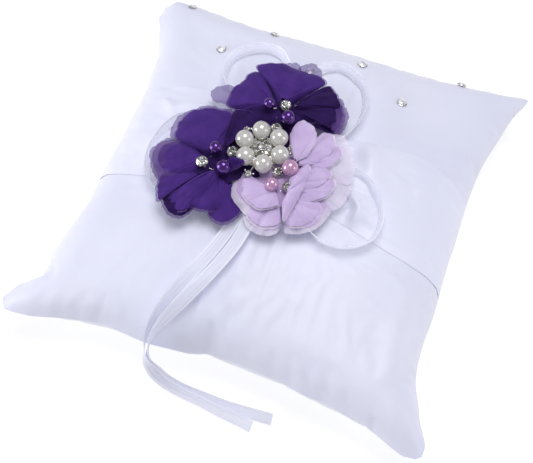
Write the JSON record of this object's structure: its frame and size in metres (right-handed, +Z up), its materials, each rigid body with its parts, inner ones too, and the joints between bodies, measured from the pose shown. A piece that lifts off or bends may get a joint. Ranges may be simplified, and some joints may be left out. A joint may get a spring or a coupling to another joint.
{
  "type": "ring bearer pillow",
  "caption": "Square white satin ring bearer pillow with a sash, a tailed ribbon bow, chiffon flowers with beaded hearts, and a pearl brooch.",
  "frame": {"origin": "on the table under the middle of the pillow: bottom centre of the bounding box of everything but the two ribbon tails", "axes": "+X to the right and +Y from the front edge, where the tails fall, to the back edge; +Z up through the pillow's thickness"},
  "size_m": [0.2, 0.2058, 0.0708],
  "materials": {
    "satin_white": "smooth polyester satin with a soft sheen",
    "organza_white": "sheer organza ribbon with woven satin edges",
    "chiffon_purple": "crinkled matt chiffon, sheer where it is single",
    "chiffon_lilac": "crinkled matt chiffon, sheer where it is single",
    "pearl_white": "pearlescent coating",
    "pearl_purple": "pearlescent coating",
    "pearl_pink": "pearlescent coating",
    "crystal": "cut rhinestone with a foiled back",
    "silver_metal": "bright silver plating",
    "felt_white": "pressed felt",
    "polyester_fibre": "loose fibre"
  },
  "bodies": {
    "root": {"back_cover": "satin_white", "front_cover": "satin_white", "satin_sash": "satin_white", "fibre_filling": "polyester_fibre", "felt_base": "felt_white", "ribbon_knot": "organza_white", "ribbon_loop_back_left": "organza_white", "ribbon_loop_back_right": "organza_white", "ribbon_loop_left": "organza_white", "ribbon_loop_right": "organza_white", "ribbon_tail_left": "organza_white", "ribbon_tail_right": "organza_white", "brooch_setting": "silver_metal", "brooch_centre_stone": "crystal", "brooch_edge_stone_1": "crystal", "brooch_edge_stone_2": "crystal", "brooch_edge_stone_3": "crystal", "brooch_edge_stone_4": "crystal", "brooch_edge_stone_5": "crystal", "brooch_edge_stone_6": "crystal", "brooch_pearl_1": "pearl_white", "brooch_pearl_2": "pearl_white", "brooch_pearl_3": "pearl_white", "brooch_pearl_4": "pearl_white", "brooch_pearl_5": "pearl_white", "brooch_pearl_6": "pearl_white", "cover_stone_1": "crystal", "cover_stone_2": "crystal", "cover_stone_3": "crystal", "cover_stone_4": "crystal", "cover_stone_5": "crystal", "cover_stone_6": "crystal", "cover_stone_7": "crystal", "flower_back_outer_petals": "chiffon_purple", "flower_back_middle_petals": "chiffon_purple", "flower_back_inner_petals": "chiffon_purple", "flower_back_heart_petals": "chiffon_purple", "flower_back_small_pearl": "pearl_purple", "flower_back_large_pearl": "pearl_purple", "flower_back_stone": "crystal", "flower_back_wire": "silver_metal", "flower_left_outer_petals": "chiffon_purple", "flower_left_middle_petals": "chiffon_purple", "flower_left_inner_petals": "chiffon_purple", "flower_left_heart_petals": "chiffon_purple", "flower_left_small_pearl": "pearl_purple", "flower_left_large_pearl": "pearl_purple", "flower_left_stone": "crystal", "flower_left_wire": "silver_metal", "flower_right_outer_petals": "chiffon_lilac", "flower_right_middle_petals": "chiffon_lilac", "flower_right_inner_petals": "chiffon_lilac", "flower_right_heart_petals": "chiffon_lilac", "flower_right_small_pearl": "pearl_pink", "flower_right_large_pearl": "pearl_pink", "flower_right_stone": "crystal", "flower_right_wire": "silver_metal"}
  },
  "joints": []
}
